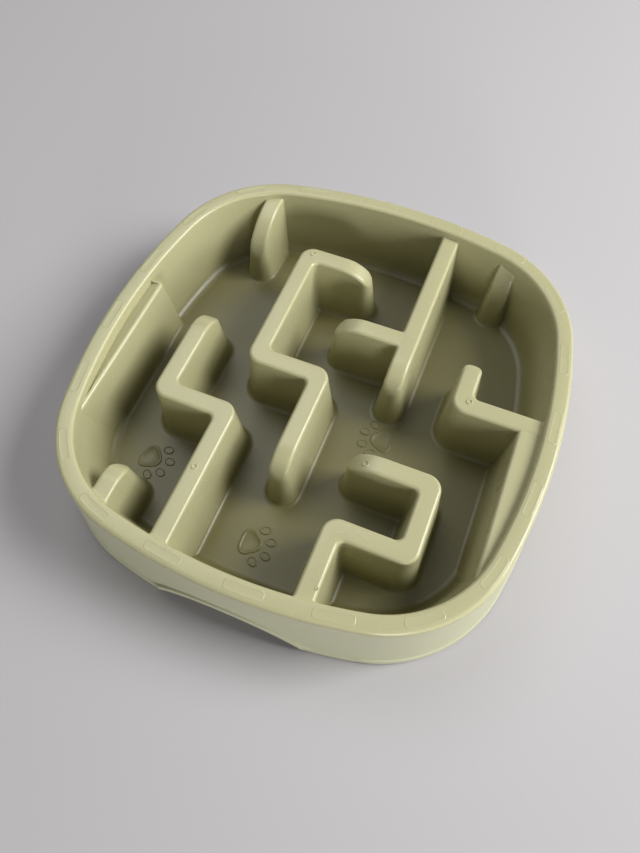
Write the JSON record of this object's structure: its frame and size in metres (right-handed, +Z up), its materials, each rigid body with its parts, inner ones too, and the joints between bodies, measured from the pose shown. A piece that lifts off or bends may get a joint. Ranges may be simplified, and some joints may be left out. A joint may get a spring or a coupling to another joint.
{
  "type": "slow feeder bowl",
  "caption": "Square slow feeder bowl with bowed sides, a flared skirt with finger arches and a maze of upright ribs that spreads the food.",
  "frame": {"origin": "under the middle of the bowl, on the surface that its feet stand on", "axes": "+X to the bowl's right, +Y to its back, +Z up out of the bowl"},
  "size_m": [0.2614, 0.2574, 0.0504],
  "materials": {
    "bowl_plastic": "glossy moulded sage green",
    "skirt_plastic": "satin moulded sage green",
    "foot_rubber": "matt black rubber"
  },
  "bodies": {
    "root": {"inner_bowl": "bowl_plastic", "outer_skirt": "skirt_plastic", "rib_left": "bowl_plastic", "rib_centre": "bowl_plastic", "rib_right": "bowl_plastic", "rib_right_branch": "bowl_plastic", "rib_front": "bowl_plastic", "rib_side": "bowl_plastic", "ledge_left": "bowl_plastic", "ledge_right": "bowl_plastic", "stub_front_left": "bowl_plastic", "fin_back_left": "bowl_plastic", "fin_back_right": "bowl_plastic", "foot_front_left": "foot_rubber", "foot_front_right": "foot_rubber", "foot_back_left": "foot_rubber", "foot_back_right": "foot_rubber"}
  },
  "joints": []
}
